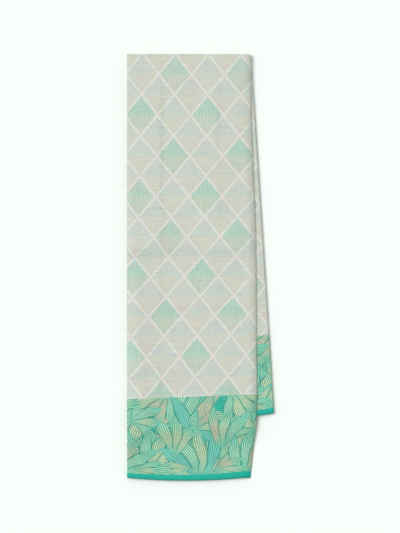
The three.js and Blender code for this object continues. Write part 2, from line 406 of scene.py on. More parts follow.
def front_print(along, down, share):
    drift = DRIFT * (np.maximum(0, down - PRINT_DOWN) / DRIFT_OVER) ** 2
    climb = BORDER_LINE_RISE * share * (down / BORDER_LINE_LEFT) ** 2
    at, *slips = np.array(SLIP).T
    left_across, right_across, left_along, right_along = (
        np.interp(down, at, slip) for slip in slips)
    drift = drift + lerp(left_across, right_across, share)
    climb = climb + lerp(left_along, right_along, share)
    return along - PRINT_X + drift, down + climb - PRINT_DOWN


def back_print(along, down):
    return along - BACK_PRINT_X, down - BACK_PRINT_DOWN


print("the print where the border begins", front_print(0.0, BORDER_LINE_LEFT, 0.0), "mm")

# %% [markdown]
# ## The front drop
#
# The cloth that faces us is one length, woven as body, border and plain edge. One sheet with
# three materials would do, but each stretch has a solid of its own to stand for, so each is a
# piece. They share one section, so their sides meet with no gap.

# %% The front drop's three stretches
PRESS_DEPTH = 2.0     # the press lines die out this far down a rolled side
front_section = section(LEFT_ROLL, RIGHT_ROLL, 84)


def front_stretch(lower, upper, tall=None):
    """Where the corners of a front stretch go, from its lower line to its upper one.

    tall is the height of a border or an edge; the body has none, and carries the lattice."""
    def place(column, row):
        share, past, depth, along = front_section[:, column]
        way = row / row.max()
        down = lerp(lower(share), upper(share), way)
        left, right = front_edges(down)
        flat_x = lerp(left + LEFT_ROLL[0], right - RIGHT_ROLL[0], share)
        x, y, z = front_point(flat_x + past, down, DROP - depth)
        points = x, y, z + creased(x, down, PRESS_LINES) * (1 - ease(depth, 0, PRESS_DEPTH))
        if tall is None:
            return points, front_print(flat_x + along, down, share)
        return points, (flat_x + along, way * tall)
    return place


columns = front_section.shape[1] - 1
front_body = lay_sheet(
    "front_cloth_body", columns, 210, front_stretch(front_border_line, turn_line))
front_border = lay_sheet(
    "front_cloth_border", columns, 44,
    front_stretch(front_edge_line, front_border_line, BORDER_HEIGHT))
front_edge = lay_sheet(
    "front_cloth_edge", columns, 5, front_stretch(front_hem, front_edge_line, EDGE_HEIGHT))

# %% [markdown]
# At the top the same cloth rolls over the thickness of the whole packet. The front drop's
# columns go round half an ellipse, and on the way the right roll shrinks to the underside's.

# %% The top fold
CORNER_SQUARE = 0.65      # how much of a rolled side's fall the top corners take back


def top_place(column, row):
    share, past, depth, along = front_section[:, column]
    round_fold = row / row.max()
    right_wide = lerp(RIGHT_ROLL[0], UNDER_ROLL[0], round_fold)
    right_deep = lerp(RIGHT_ROLL[1], UNDER_ROLL[1], round_fold)
    rolled = (share == 1) & (past > 0)
    past = np.where(rolled, past * right_wide / RIGHT_ROLL[0], past)
    depth = np.where(rolled, depth * right_deep / RIGHT_ROLL[1], depth)
    left, right = front_edges(0 * share)
    flat_x = lerp(left + LEFT_ROLL[0], right - right_wide, share)
    points = turn_point(flat_x + past, round_fold * np.pi, DROP - depth, CORNER_SQUARE * depth)
    down = TURN - round_fold * 2 * TURN
    return points, front_print(flat_x + along, down, share)


top_fold = lay_sheet("top_cloth_fold", columns, 18, top_place)

# %% [markdown]
# ## The back drop
#
# Below the packet the cloth lies flat on the table and runs back to its own border and edge.
# Only its rolled sides show, so it needs few cells.

# %% The underside
under_section = section(UNDER_ROLL, UNDER_ROLL, 24)
under_columns = under_section.shape[1] - 1


def under_stretch(upper, lower, tall=None):
    def place(column, row):
        share, past, depth, along = under_section[:, column]
        way = row / row.max()
        down = lerp(upper(share), lower(share), way)
        left, right = back_edges(down)
        flat_x = lerp(left + UNDER_ROLL[0], right - UNDER_ROLL[0], share)
        points = back_point(flat_x + past, down, DROP - depth)
        cloth_x = flat_x - left + along
        if tall is None:
            return points, front_print(cloth_x, -down, share)
        return points, (cloth_x + UNDER_BORDER_SHIFT, (1 - way) * tall)
    return place


under_body = lay_sheet(
    "under_cloth_body", under_columns, 40, under_stretch(turn_line, back_border_line))
under_border = lay_sheet(
    "under_cloth_border", under_columns, 12,
    under_stretch(back_border_line, back_edge_line, BORDER_HEIGHT))
under_edge = lay_sheet(
    "under_cloth_edge", under_columns, 3, under_stretch(back_edge_line, back_hem, EDGE_HEIGHT))

# %% [markdown]
# The back drop fans out from under the front one, and its upper face shows there as a wedge.
# The sheet goes on to the left, under the front drop, as the real cloth does.

# %% The back drop's upper face
margin_section = section(None, MARGIN_ROLL, 40)
margin_columns = margin_section.shape[1] - 1
MARGIN_START = 1.6    # its left side ends this far inside the folds below


def margin_stretch(lower, upper, tall=None):
    def place(column, row):
        share, past, depth, along = margin_section[:, column]
        way = row / row.max()
        down = lerp(lower(share), upper(share), way)
        left, right = back_edges(down)
        flat_x = lerp(left + MARGIN_START, right - MARGIN_ROLL[0], share)
        points = back_point(flat_x + past, down, MIDDLE_GAP + depth)
        cloth_x = flat_x - left + along
        if tall is None:
            return points, back_print(cloth_x, down)
        return points, (cloth_x + BACK_BORDER_SHIFT, way * tall)
    return place


back_body = lay_sheet(
    "back_cloth_body", margin_columns, 60, margin_stretch(back_border_line, turn_line))
back_border = lay_sheet(
    "back_cloth_border", margin_columns, 20,
    margin_stretch(back_edge_line, back_border_line, BORDER_HEIGHT))
back_edge = lay_sheet(
    "back_cloth_edge", margin_columns, 4, margin_stretch(back_hem, back_edge_line, EDGE_HEIGHT))

# %% [markdown]
# ## The pleats between
#
# Between the outer cloths lie 28 more layers. They are one zigzag: a run to the right, a tight
# turn, a run to the left, and so on down the stack. Only its folds show, at the sides, and its
# hems. A real shop never lines the folds up, so each one wanders in and out on its own.

# %% The zigzag's columns
RUNS = 28
RUN_STEPS = 7
FOLD_STEPS = 3
LEAF = 0.1            # thickness of one hidden layer
rng = np.random.default_rng(11)

shares = np.linspace(0, 1, RUN_STEPS + 1)
bends = np.pi * np.arange(1, FOLD_STEPS + 1) / (FOLD_STEPS + 1)
zig = []              # run, share of the way across, and bend, for each column
for run in range(RUNS):
    zig += [(run, share, 0.0) for share in (shares[::-1] if run % 2 else shares)]
    zig += [(run, 1.0 - run % 2, bend) for bend in bends]
zig = np.array(zig[:-FOLD_STEPS]).T       # no fold follows the last run
zig_columns = zig.shape[1] - 1
print("the zigzag has", zig_columns, "steps")

# %% [markdown]
# Folds that all ended in one plane would look cast, so each gets its place by chance, with a
# fixed seed, and they gather in sheaves, as pressed cloth does. None may come through the cloth
# that rolls over it, so the roll's own curve sets the least distance.

# %% How far each fold lies inside the outline
FOLDS = RUNS // 2 + 1
GROUPS = 5            # the folds stand in about this many sheaves
SHEAF_DEPTH = 1.0
FOLD_JITTER = 0.35
WANDER = 0.5
WANDER_LENGTHS = (60, 210)
HEM_STEPS = (0.2, 1.8)    # how far the layers' hems lie inside the outer cloth's
CLEAR = 0.35          # distance kept from the cloth that rolls over the folds
TUCK_CLEAR = 0.25     # and above its tuck
AIR = 0.65            # the front cloth lies this far above them, and may crease on its own
UNDER_AIR = 0.1       # and the cloth of the back drop this far
NO_ROLL = (0.5, 0.45)     # a side that no cloth rolls over
BELOW_ROLLS = 9.0     # a depth below every roll
fold_jitter = rng.uniform(-FOLD_JITTER, FOLD_JITTER, (2, FOLDS))
fold_phase = rng.uniform(0, 2 * np.pi, (2, FOLDS, 2))
fold_waves = rng.uniform(*WANDER_LENGTHS, (2, FOLDS, 2))
hem_steps = rng.uniform(*HEM_STEPS, RUNS)
print("folds at each side", FOLDS, "deepest step of a hem", hem_steps.max(), "mm")


def under_roll(roll, depth):
    """Least distance inside the outline at a depth below the outside of a rolled side."""
    wide, deep = roll
    rise = np.clip((deep - depth) / (deep - CLEAR), 0, 1)
    inside = wide - (wide - CLEAR) * np.sqrt(1 - rise ** 2)
    inside = np.where(depth > deep - TUCK_CLEAR, TUCK + TUCK_RUN + CLEAR, inside)
    return np.where(depth > deep + TUCK + CLEAR, CLEAR, inside)


def fold_inset(side, fold, depth, rolls, way):
    """How far a fold lies inside the outline. way is its distance along the strip."""
    covered = np.maximum(*[under_roll(roll, at) for roll, at in zip(rolls, depth)])
    sheaf = SHEAF_DEPTH * (0.5 - 0.5 * np.cos(2 * np.pi * GROUPS * fold / FOLDS))
    wander = sum(
        WANDER / 2 * (1 + np.sin(2 * np.pi * way / fold_waves[side, fold, i]
                                 + fold_phase[side, fold, i]))
        for i in range(2))
    return covered + sheaf + wander + np.abs(fold_jitter[side, fold])


# %% [markdown]
# The pleats go up the front drop, round the top fold and down the back drop, row by row. A row
# knows which part of the strip it is on, and places its corners from the outermost layer in.

# %% Where a corner of the zigzag goes
def strip_stops(side, lower, upper, rows):
    """Rows of the strip: which part it is, its lines, and the share of the way between them."""
    return [(side, lower, upper, share) for share in np.linspace(0, 1, rows + 1)]


def zigzag_place(stops, hem_row, tall):
    """Where the corners of a stretch of the zigzag go, row by row."""
    def place(column, row):
        points = np.empty((3, len(column)))
        cloth = np.empty((2, len(column)))
        for number, (side, lower, upper, way_share) in enumerate(stops):
            here = row == number
            run, share, bend = zig[:, column[here]]
            run = run.astype(int)
            bent = np.sin(bend)
            is_turn = side == "turn"
            round_fold = {"front": 0.0, "turn": way_share, "back": 1.0}[side]

            # The layers' heights, from the outermost in.
            outer = DROP - SILK - lerp(AIR, UNDER_AIR, round_fold)
            inner = lerp(MIDDLE_GAP, MIDDLE_GAP + SILK + UNDER_AIR, round_fold)
            pitch = (outer - inner) / RUNS
            sink = (1 - np.cos(bend)) / 2
            out = outer - (run + 0.5 + sink) * pitch

            # Their folds, each shared by two runs.
            right_fold = run // 2
            left_fold = (run + 1) // 2
            pair_right = outer - (2 * right_fold + 1) * pitch
            pair_left = outer - 2 * left_fold * pitch
            right_roll = tuple(
                lerp(a, b, round_fold) for a, b in zip(RIGHT_ROLL, UNDER_ROLL))
            margin = MARGIN_ROLL if side == "back" else NO_ROLL
            if is_turn:
                down = 0 * share + TURN
                strip_at = -TURN * (2 * round_fold - 1)
            else:
                down = lerp(lower(share), upper(share), way_share)
                if number == hem_row:
                    down = down - hem_steps[run]
                strip_at = down if side == "front" else -down
            right_inset = fold_inset(
                0, right_fold, (DROP - pair_right, pair_right - MIDDLE_GAP),
                (right_roll, margin), strip_at)
            left_inset = fold_inset(
                1, left_fold, (DROP - pair_left, 0 * pair_left + BELOW_ROLLS),
                (LEFT_ROLL, LEFT_ROLL), strip_at)

            edges = front_edges if side != "back" else back_edges
            left, right = edges(0 * down if is_turn else down)
            start, end = left + left_inset + pitch / 2, right - right_inset - pitch / 2
            x = lerp(start, end, share) + np.where(share > 0.5, 1, -1) * bent * pitch / 2
            if is_turn:
                points[:, here] = turn_point(x, round_fold * np.pi, out)
            elif side == "front":
                points[:, here] = front_point(x, down, out)
            else:
                points[:, here] = back_point(x, down, out)

            across = np.where(run % 2 == 0, share, 1 - share) * PANEL_WIDTH
            cloth_x = (run + 1) * PANEL_WIDTH + across
            if tall is not None:
                strip_at = tall * (way_share if side == "front" else 1 - way_share)
            cloth[:, here] = cloth_x, strip_at * np.ones_like(share)
        return points, cloth
    return place


# %% The pleats' five stretches
def lay_pleats(name, stops, tall=None, hem_row=None):
    return lay_sheet(name, zig_columns, len(stops) - 1, zigzag_place(stops, hem_row, tall),
                     thickness=LEAF, towards=0.0, square_map=False)


body_stops = (strip_stops("front", front_border_line, turn_line, 34)
              + strip_stops("turn", None, None, 8)[1:-1]
              + strip_stops("back", turn_line, back_border_line, 20))
pleats_body = lay_pleats("pleats_body", body_stops)
pleats_front_border = lay_pleats(
    "pleats_front_border", strip_stops("front", front_edge_line, front_border_line, 14),
    BORDER_HEIGHT)
pleats_front_edge = lay_pleats(
    "pleats_front_edge", strip_stops("front", front_hem, front_edge_line, 1),
    EDGE_HEIGHT, hem_row=0)
pleats_back_border = lay_pleats(
    "pleats_back_border", strip_stops("back", back_border_line, back_edge_line, 8),
    BORDER_HEIGHT)
pleats_back_edge = lay_pleats(
    "pleats_back_edge", strip_stops("back", back_edge_line, back_hem, 1),
    EDGE_HEIGHT, hem_row=1)

# %% [markdown]
# ## Finishes
#
# A material here is a chain of small steps on the cloth's own map. One function adds a node,
# sets it up and links it, and everything else is built from that. Each silk has it as `add`,
# with its own tree filled in.

# %% Nodes and colours
MATH = "ShaderNodeMath"
VECTOR_MATH = "ShaderNodeVectorMath"
MAP_RANGE = "ShaderNodeMapRange"      # inputs: a value, the range it has, the range it gets
MIX = "ShaderNodeMix"                 # inputs: the share of the second, the first, the second
NOISE = "ShaderNodeTexNoise"
FLAT = {"noise_dimensions": "2D"}     # noise is drawn on the flat cloth
RAMP = "ShaderNodeValToRGB"
SEPARATE = "ShaderNodeSeparateXYZ"
COMBINE = "ShaderNodeCombineXYZ"


def add_node(tree, kind, inputs=(), operation=None, **settings):
    """Adds a node with its settings, and links or sets its inputs. Gives its output.

    inputs lists the first ones in the node's own order, or gives some by name."""
    node = tree.nodes.new(kind)
    if operation:
        node.operation = operation
    for name, value in settings.items():
        setattr(node, name, value)
    shown = [socket for socket in node.inputs if socket.enabled]
    if isinstance(inputs, dict):
        shown = [next(socket for socket in shown if socket.name == name) for name in inputs]
        inputs = inputs.values()
    for socket, value in zip(shown, inputs):
        if isinstance(value, bpy.types.NodeSocket):
            tree.links.new(value, socket)
        else:
            socket.default_value = value
    return next((socket for socket in node.outputs if socket.enabled), None)


def linear(hex_colour):
    """An sRGB hex colour as the linear colour that Blender works with."""
    parts = [int(hex_colour[i:i + 2], 16) / 255 for i in (1, 3, 5)]
    return tuple(
        part / 12.92 if part <= 0.04045 else ((part + 0.055) / 1.055) ** 2.4
        for part in parts) + (1.0,)


def set_ramp(socket, stops, interpolation="LINEAR"):
    """Gives a colour ramp its stops: place and colour."""
    ramp = socket.node.color_ramp
    ramp.interpolation = interpolation
    while len(ramp.elements) < len(stops):
        ramp.elements.new(1.0)
    for element, (place, colour) in zip(ramp.elements, stops):
        element.position = place
        element.color = linear(colour)
    return socket


# %% [markdown]
# Silk is smooth thread, so it has a soft, broad highlight and a little sheen at glancing
# angles. Its IOR is about 1.54. The threads of the real weave are 0.1 mm apart, far below
# what shows, so the bump is drawn from thicker slubs, the uneven threads that silk is known for.

# %% The shader that all three finishes share
SILK_IOR = 1.54
SILK_ROUGHNESS = 0.52
SPECULAR = 0.25
SHEEN = 0.12
SHEEN_ROUGHNESS = 0.35
SLUB_LENGTH = 0.030   # in metres, as the cloth map is, and so are the sizes below
SLUB_WIDTH = 0.0011
SLUB_HEIGHT = 0.0002
SLUB_SHADE = 0.065
GRAIN = 0.0016
GRAIN_SHADE = 0.07
DYE_PATCH = 0.010     # the threads took the dye unevenly, in patches of about this length
DYE_SHADE = np.array([0.22, 0.11, 0.22])    # least in the green
LIT = 0.92            # colours below are as seen in the studio's light, a little over full


def silk_material(name):
    """A plain silk material: itself, its own add, its shader and the cloth map."""
    material = bpy.data.materials.new(name)
    material.use_nodes = True
    material.node_tree.nodes.clear()
    add = partial(add_node, material.node_tree)
    shader = add("ShaderNodeBsdfPrincipled", {
        "IOR": SILK_IOR, "Roughness": SILK_ROUGHNESS, "Specular IOR Level": SPECULAR,
        "Sheen Weight": SHEEN, "Sheen Roughness": SHEEN_ROUGHNESS}).node
    add("ShaderNodeOutputMaterial", [shader.outputs[0]])
    cloth = add("ShaderNodeUVMap", uv_map="cloth")
    print("material", name)
    return material, add, shader, cloth


def slubs(add, cloth, seed, wide=SLUB_WIDTH, length=SLUB_LENGTH):
    """Streaks along the weft, from 0 to 1."""
    stretched = add(
        "ShaderNodeMapping",
        {"Vector": cloth, "Scale": (1 / length, 1 / wide, 1), "Location": (seed, seed, 0)})
    return add(NOISE, {"Vector": stretched, "Scale": 1.0, "Detail": 3.0, "Roughness": 0.6}, **FLAT)


def finish_silk(add, shader, colour, cloth):
    """Slubs, grain and uneven dye over the colour, slubs in the bump, and the last links."""
    streak = slubs(add, cloth, 3.0)
    shade = add(MAP_RANGE, [streak, 0.3, 0.7, LIT - SLUB_SHADE, LIT + SLUB_SHADE])
    grain = add(NOISE, {"Vector": cloth, "Scale": 1 / GRAIN, "Detail": 1.0}, **FLAT)
    grain = add(MAP_RANGE, [grain, 0.25, 0.75, 1 - GRAIN_SHADE, 1 + GRAIN_SHADE])
    shade = add(MATH, [shade, grain], "MULTIPLY")
    dye = slubs(add, cloth, 9.0, DYE_PATCH / 2, DYE_PATCH)
    dye = add(
        VECTOR_MATH, [dye.node.outputs["Color"], DYE_SHADE, 1 - DYE_SHADE / 2], "MULTIPLY_ADD")
    dyed = add(VECTOR_MATH, [colour, dye], "MULTIPLY")
    shaded = add(VECTOR_MATH, [dyed, shade], "SCALE")
    bump = add("ShaderNodeBump", {"Height": streak, "Strength": 0.25, "Distance": SLUB_HEIGHT})
    links = shader.id_data.links
    links.new(shaded, shader.inputs["Base Color"])
    links.new(bump, shader.inputs["Normal"])
    print("finished with", len(shader.id_data.nodes), "nodes")


# %% [markdown]
# ## The printed body
#
# The body's print is a lattice of pale bands on the slant, with a diamond in each opening. In
# one diamond of four the print is green with fine upright lines. Each diamond changes colour
# across its middle, blue above and straw below. Two slanted counts number the openings: a
# whole number is a band, and their fractions give the place inside a diamond.

# %% The lattice print
DIAMOND_WIDTH = 47.9 * MM
DIAMOND_HEIGHT = 58.6 * MM
BAND_HALF = 1.75 * MM
BAND_SOFT = 1.4 * MM
ACROSS_BAND = 1 / math.hypot(1 / DIAMOND_WIDTH, 1 / DIAMOND_HEIGHT)   # from count to metres
UPRIGHT_PITCH = 3.4 * MM  # of the fine upright lines, as coarse as the photograph shows them
BODY_FOOT = (BORDER_LINE_LEFT - PRINT_DOWN + SLIP[-1][3]) * MM   # where the border begins
RIM = 3.0 * MM            # the shaded rim of a diamond, beside its bands
RIM_SHADE = 0.965
CROSSING = 6.0 * MM       # the bands are pinkish this far from where they cross
WOBBLE = 0.012            # how far the bands stray, in counts
RAGGED = 0.11             # and how far the colours do, in heights of a diamond

printed_silk, add, shader, cloth = silk_material("silk, lattice print")
wobble = add(NOISE, {"Vector": cloth, "Scale": 55.0, "Detail": 1.0}, **FLAT)
wobble = add(MAP_RANGE, [wobble, 0.0, 1.0, -WOBBLE, WOBBLE])
parts = add(SEPARATE, [cloth])
across, fall = parts, parts.node.outputs[1]
fall_count = add(MATH, [fall, 1 / DIAMOND_HEIGHT], "MULTIPLY")
across_count = add(MATH, [across, 1 / DIAMOND_WIDTH, 0.5], "MULTIPLY_ADD")
across_count = add(MATH, [across_count, wobble], "ADD")
both = [across_count, fall_count]
counts = [add(MATH, both, sign) for sign in ("ADD", "SUBTRACT")]

# %% The place inside a diamond, and how far the nearest band is
places = [add(MATH, [count], "FRACT") for count in counts]
to_bands = []
evens = []
for count, place in zip(counts, places):
    off_middle = add(MATH, [place, 0.5], "SUBTRACT")
    off_middle = add(MATH, [off_middle], "ABSOLUTE")
    to_bands.append(add(MATH, [off_middle, -ACROSS_BAND, 0.5 * ACROSS_BAND], "MULTIPLY_ADD"))
    half = add(MATH, [count, 0.5], "MULTIPLY")
    half = add(MATH, [half], "FRACT")
    evens.append(add(MATH, [half, 0.5], "LESS_THAN"))
to_band = add(MATH, to_bands, "MINIMUM")
to_crossing = add(MATH, to_bands, "MAXIMUM")
is_green = add(MATH, evens, "MULTIPLY")

# %% The diamonds' colours
# From 0 at a diamond's top tip to 1 at its bottom tip, ragged as the weft is.
ragged = slubs(add, cloth, 9.0, wide=0.0024, length=0.012)
ragged = add(MAP_RANGE, [ragged, 0.0, 1.0, -RAGGED, RAGGED])
downward = add(MATH, places, "SUBTRACT")
downward = add(MATH, [downward, 0.5, 0.5], "MULTIPLY_ADD")
downward = add(MATH, [downward, ragged], "ADD")
pale = set_ramp(add(RAMP, [downward]), [
    (0.00, "#cdd2cb"), (0.25, "#c9d1c9"), (0.40, "#c6d2c9"), (0.48, "#c9d3c7"),
    (0.52, "#cfd3c5"), (0.70, "#d1d2c3"), (1.00, "#cfcec4")])
green = set_ramp(add(RAMP, [downward]), [
    (0.00, "#bacfc3"), (0.20, "#b4d0c2"), (0.32, "#b0cfbf"), (0.48, "#b6d1c0"),
    (0.52, "#bfd1bf"), (0.75, "#c4cfbd"), (1.00, "#c5cdbe")])

# %% Fine upright lines
# They are strong on the green diamonds and faint on the others.
upright = add(MATH, [across, 2 * math.pi / UPRIGHT_PITCH], "MULTIPLY")
upright = add(MATH, [upright], "SINE")
broken = add("ShaderNodeMapping", {"Vector": cloth, "Scale": (330.0, 60.0, 1.0)})
broken = add(NOISE, {"Vector": broken, "Scale": 1.0, "Detail": 2.0}, **FLAT)
broken = add(MAP_RANGE, [broken, 0.35, 0.65, 0.0, 1.0])
upright = add(MATH, [upright, broken], "MULTIPLY")
line_depth = add(MAP_RANGE, [is_green, 0.0, 1.0, 0.04, 0.13])
upright = add(MATH, [upright, line_depth], "MULTIPLY")
upright = add(MATH, [upright, 1.0], "ADD")
diamond = add(MIX, [is_green, pale, green], data_type="RGBA")
diamond = add(VECTOR_MATH, [diamond, upright], "SCALE")

# %% Uneven dye
# Each diamond took the dye a little differently, some towards pink.
wholes = [add(MATH, [count], "FLOOR") for count in counts]
opening = add(COMBINE, wholes)
chance = add("ShaderNodeTexWhiteNoise", [opening], **FLAT)
cloudy = add(NOISE, {"Vector": cloth, "Scale": 34.0, "Detail": 2.0}, **FLAT)
pink = add(MATH, [chance, cloudy], "MULTIPLY")
pink = add(MAP_RANGE, [pink, 0.30, 0.62, 0.0, 0.5])
diamond = add(MIX, [pink, diamond, linear("#d3cec3")], data_type="RGBA")

# The diamonds are a shade greyer beside the bands.
rim = add(MAP_RANGE, [to_band, BAND_HALF, BAND_HALF + RIM, RIM_SHADE, 1.0])
diamond = add(VECTOR_MATH, [diamond, rim], "SCALE")

# %% The bands
# They are pinkish where they cross. A pale line like them lies where the border begins.
crossing = add(MAP_RANGE, [to_crossing, CROSSING / 4, CROSSING, 1.0, 0.0])
band = add(MIX, [crossing, linear("#dcdfd5"), linear("#dfdad6")], data_type="RGBA")
in_band = add(MAP_RANGE, [to_band, BAND_HALF - BAND_SOFT / 2, BAND_HALF + BAND_SOFT / 2, 1.0, 0.0])
to_border = add(MATH, [BODY_FOOT, fall], "SUBTRACT")
at_border = add(MAP_RANGE, [to_border, 1.1 * MM, 2.2 * MM, 1.0, 0.0])
not_green = add(MATH, [1.0, is_green], "SUBTRACT")
at_border = add(MATH, [at_border, not_green], "MULTIPLY")
in_band = add(MATH, [in_band, at_border], "MAXIMUM")
body_colour = add(MIX, [in_band, diamond, band], data_type="RGBA")
finish_silk(add, shader, body_colour, cloth)

# %% [markdown]
# ## The leaf border
#
# The border is crowded with pointed leaves, each filled with fine lines that run its length.
# They spring in fans from the plain edge, hang in fans from the body, and a few lie along the
# foot. This is a layout of its own. All places here are in millimetres, and an unsteady hand
# moves them a little, so no leaf is straight.

# %% The border's places, drawn by an unsteady hand
REPEAT = 190.0        # the border's design repeats after this width
HAND = 8.0            # the largest slip of the hand

leaf_silk, add, shader, cloth = silk_material("silk, leaf border print")
hand = add(NOISE, {"Vector": cloth, "Scale": 34.0, "Detail": 1.0}, **FLAT)
hand = add(
    VECTOR_MATH, [hand.node.outputs["Color"], (HAND, HAND, 0.0), (-HAND / 2, -HAND / 2, 0.0)],
    "MULTIPLY_ADD")
drawn = add(VECTOR_MATH, [cloth, (1 / MM, 1 / MM, 0.0), hand], "MULTIPLY_ADD")

# %% [markdown]
# Behind the fans the cloth is full of leaves that all lean one way. Waves that touch and part
# divide it: one set of waves is the left side of every leaf, and the other, half a wave later,
# is the right side. With c the cosine along the waves, the even waves lie c/2 to one side.
# Measured from them, the first leaf is 1 - c wide, and the second takes the 1 + c that is left
# of every two steps.

# %% Waves that part into leaves
LEAF_LENGTH = 66.0
LEAF_WIDTH = 20.0
LEAN = 66             # degrees

flow = add(
    "ShaderNodeMapping",
    {"Vector": drawn, "Rotation": (0, 0, math.radians(LEAN)),
     "Scale": (LEAF_LENGTH, LEAF_WIDTH / 2, 1)},
    vector_type="TEXTURE")
flow = add(SEPARATE, [flow])
phase, steps = flow, flow.node.outputs[1]
turns = add(MATH, [phase, 2 * math.pi], "MULTIPLY")
c = add(MATH, [turns], "COSINE")
steps = add(MATH, [c, -0.5, steps], "MULTIPLY_ADD")
past_even = add(MATH, [steps, 2.0, 0.0], "WRAP")
first_wide = add(MATH, [1.0, c], "SUBTRACT")
second_wide = add(MATH, [1.0, c], "ADD")
past_odd = add(MATH, [past_even, first_wide], "SUBTRACT")
is_second = add(MATH, [past_odd, 0.0], "GREATER_THAN")
past = add(MIX, [is_second, past_even, past_odd])
wide = add(MIX, [is_second, first_wide, second_wide])
ratio = add(MATH, [past, wide], "DIVIDE")
ratio = add(MATH, [ratio, 2.0, -1.0], "MULTIPLY_ADD")
along = add(MATH, [is_second, 0.5, phase], "MULTIPLY_ADD")
whole_leaves = add(MATH, [along], "FLOOR")
along = add(MATH, [along], "FRACT")
even = add(MATH, [steps, past_even], "SUBTRACT")
which = add(COMBINE, [even, whole_leaves, is_second])
kind = add("ShaderNodeTexWhiteNoise", [which], noise_dimensions="3D")
topmost = add(COMBINE, [ratio, along, kind])

# %% [markdown]
# A fan is drawn in the places round its foot. A Mapping node measures from the foot, in leaf
# lengths and with the fan's middle ahead. Then the heading, counted in steps, tells which leaf
# a place belongs to, and the distance tells how far along that leaf it is. A leaf is as wide
# as s(1 - s), and near the foot it is no wider than its step. Where a fan lies on top, what it
# says replaces what the drawing below it said.

# %% Fans of leaves on top
FANS = [              # foot's x and height, degrees, leaves, degrees a leaf, length, width, bend
    (58, 124, -96, 5, 24, 72, 20, 0.3),
    (152, 126, -84, 5, 24, 70, 20, -0.3),
    (94, 66, 14, 3, 26, 66, 20, 0.4),
    (194, 58, 166, 3, 26, 64, 20, -0.4),
    (0, 76, 12, 3, 26, 62, 19, 0.35),
    (30, -10, 84, 7, 22, 86, 22, 0.35),
    (106, -12, 101, 5, 23, 92, 22, -0.35),
    (172, -10, 79, 5, 23, 80, 21, 0.4),
    (68, 22, 72, 3, 24, 72, 20, -0.35),
    (140, 32, 98, 3, 24, 68, 19, 0.35),
    (6, 6, 6, 3, 16, 56, 14, 0.2),
    (96, 7, 174, 3, 16, 48, 13, -0.2),
    (122, 6, 7, 3, 16, 56, 14, 0.2),
]
SHORTEST = 0.78       # a leaf may be this much of its fan's length
ENDLESS = 5000.0      # the design repeats across only, so upwards it may be this tall

for number, fan in enumerate(FANS):
    foot_x, foot_y, middle, leaves, step, length, width, bend = fan
    near = add(
        VECTOR_MATH,
        [drawn, (foot_x + REPEAT / 2, ENDLESS, 1.0), (foot_x - REPEAT / 2, -ENDLESS, -1.0)], "WRAP")
    own = add(
        "ShaderNodeMapping",
        {"Vector": near, "Location": (foot_x, foot_y, 0),
         "Rotation": (0, 0, math.radians(middle)), "Scale": (length, length, 1)},
        vector_type="TEXTURE")
    distance = add(VECTOR_MATH, [own], "LENGTH")
    own = add(SEPARATE, [own])
    heading = add(MATH, [own.node.outputs[1], own], "ARCTAN2")
    heading = add(MATH, [distance, bend, heading], "MULTIPLY_ADD")
    steps = add(MATH, [heading, 1 / math.radians(step), 0.5], "MULTIPLY_ADD")
    leaf = add(MATH, [steps], "FLOOR")
    beside = add(MATH, [steps], "FRACT")
    beside = add(MATH, [beside, 2.0, -1.0], "MULTIPLY_ADD")
    step_half = add(MATH, [distance, math.radians(step) / 2], "MULTIPLY")
    q = add(MATH, [beside, step_half], "MULTIPLY")
    which = add(COMBINE, [leaf, float(number)])
    chance = add("ShaderNodeTexWhiteNoise", [which], **FLAT)
    chance = add(SEPARATE, [chance.node.outputs["Color"]])
    stretch = add(MAP_RANGE, [chance, 0.0, 1.0, 1.0, 1 / SHORTEST])
    s = add(MATH, [distance, stretch], "MULTIPLY")
    rest = add(MATH, [1.0, s], "SUBTRACT")
    arc = add(MATH, [s, rest], "MULTIPLY")
    leaf_half = add(MATH, [arc, 2 * width / length], "MULTIPLY")
    half = add(MATH, [leaf_half, step_half], "MINIMUM")
    ratio = add(MATH, [q, half], "DIVIDE")
    size = add(MATH, [q], "ABSOLUTE")
    inside = add(MATH, [size, half], "LESS_THAN")
    in_fan = add(MATH, [leaf, 0.0, leaves / 2 - 0.25], "COMPARE")
    inside = add(MATH, [inside, in_fan], "MULTIPLY")
    says = add(COMBINE, [ratio, s, chance.node.outputs[1]])
    topmost = add(MIX, [inside, topmost, says], data_type="VECTOR")
print("fans", len(FANS), "with", sum(fan[3] for fan in FANS), "leaves in each repeat")

# %% [markdown]
# Now one set of nodes paints whatever leaf came out on top. Its fill depends on the leaf, the
# lines are mint near the tips and cream or pink in the middle, and a darker line goes round it.
# The lines nearly keep their distance where a leaf narrows, so few of them reach its tip.

# %% The leaves' colours
LINES = 6.6           # printed lines across a leaf where it is widest
NARROWING = 0.6       # 1 would keep the lines' distance all along, 0 their number
LEAF_EDGE = 0.90      # the outline begins at this share of a leaf's half width

parts = add(SEPARATE, [topmost])
ratio, s, kind = parts, parts.node.outputs[1], parts.node.outputs[2]
fill_colour = set_ramp(add(RAMP, [kind]), [
    (0.0, "#1fae96"), (0.05, "#2fa486"), (0.34, "#26a896"), (0.48, "#36a584"),
    (0.63, "#2aa58a")], "CONSTANT")
line_colour = set_ramp(add(RAMP, [kind]), [
    (0.0, "#2cb29b"), (0.05, "#dbe2ba"), (0.34, "#86d1bf"), (0.48, "#e4cdb4"),
    (0.63, "#b8e2c3")], "CONSTANT")
off_middle = add(MATH, [s, 0.5], "SUBTRACT")
off_middle = add(MATH, [off_middle], "ABSOLUTE")
mid_leaf = add(MAP_RANGE, [off_middle, 0.08, 0.36, 1.0, 0.1])
line_colour = add(MIX, [mid_leaf, linear("#93dabd"), line_colour], data_type="RGBA")
narrow = add(MATH, [1.0, s], "SUBTRACT")
narrow = add(MATH, [narrow, s], "MULTIPLY")
